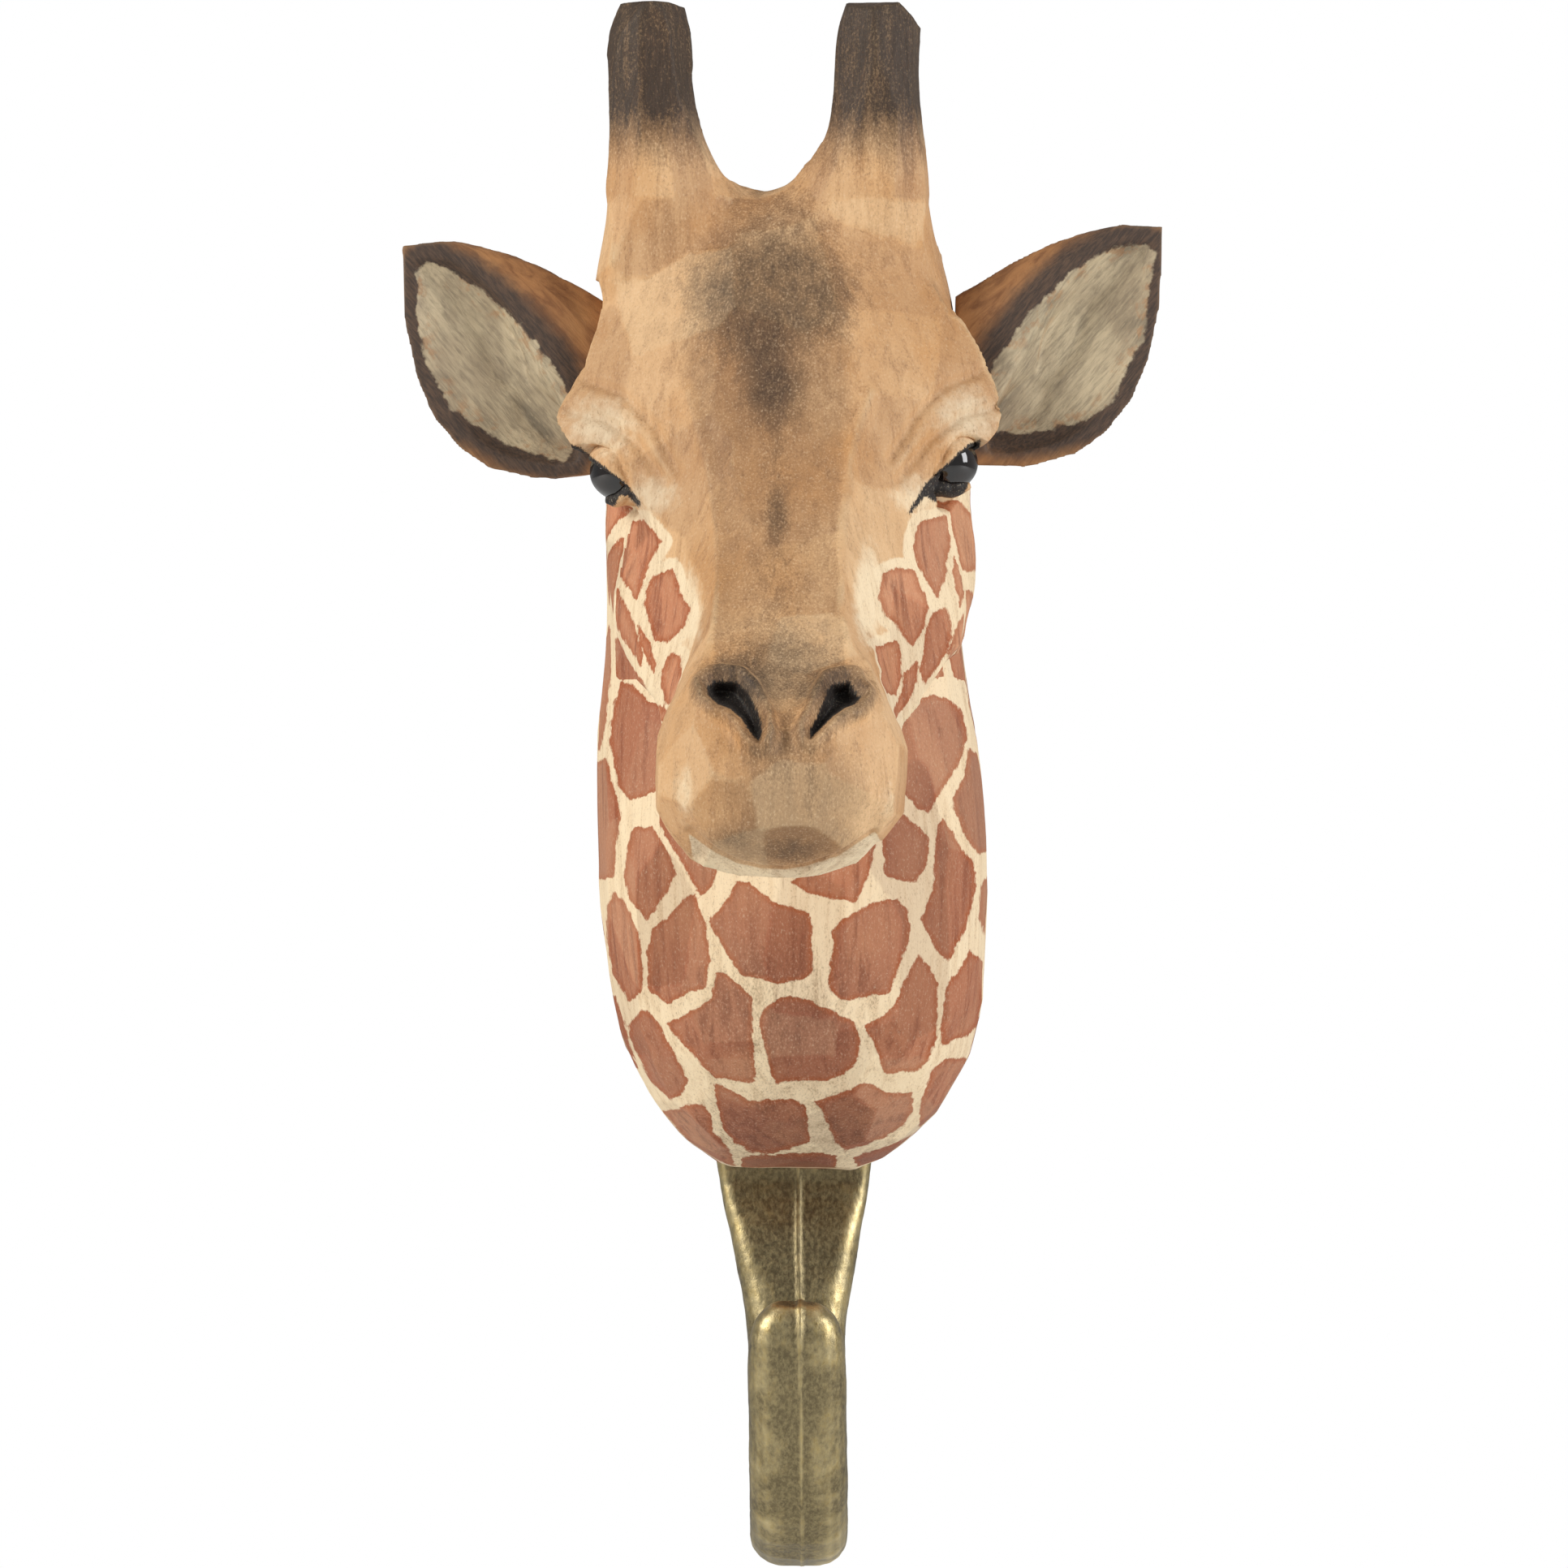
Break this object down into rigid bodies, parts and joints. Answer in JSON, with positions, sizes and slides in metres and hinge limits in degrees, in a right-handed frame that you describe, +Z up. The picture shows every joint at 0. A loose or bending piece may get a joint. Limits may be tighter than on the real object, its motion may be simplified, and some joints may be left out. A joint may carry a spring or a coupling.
{
  "type": "carved giraffe wall hook",
  "caption": "Painted carved-wood giraffe head and neck that hangs flat on a wall, with a cast metal J-hook below it for a coat or a bag.",
  "frame": {"origin": "on the flat back that rests on the wall, on the hook's centreline, half way up the whole object", "axes": "+Z up along the object's length, +Y into the wall, so the giraffe looks out along -Y; +X to the right as seen from the front"},
  "size_m": [0.0866, 0.0874, 0.1793],
  "materials": {
    "neck_wood": "hand painted red-brown patches on pale wood, satin",
    "head_wood": "hand painted tan stain over fine grain, satin",
    "ear_wood": "dark brown painted rim and grey hollow, satin",
    "dowel_wood": "plain beech",
    "eye_gloss": "gloss black",
    "aged_brass": "antique brass plating, darkened in the hollows",
    "zinc_steel": "bright zinc"
  },
  "bodies": {
    "root": {"neck_block": "neck_wood", "head_block": "head_wood", "ear_left": "ear_wood", "ear_right": "ear_wood", "eye_left": "eye_gloss", "eye_right": "eye_gloss", "ear_dowel_left": "dowel_wood", "ear_dowel_right": "dowel_wood", "head_dowel_upper": "dowel_wood", "head_dowel_lower": "dowel_wood", "hook_casting": "aged_brass", "hook_screw_upper": "zinc_steel", "hook_screw_lower": "zinc_steel", "keyhole_hanger": "zinc_steel", "hanger_screw_upper": "zinc_steel", "hanger_screw_lower": "zinc_steel"}
  },
  "joints": []
}
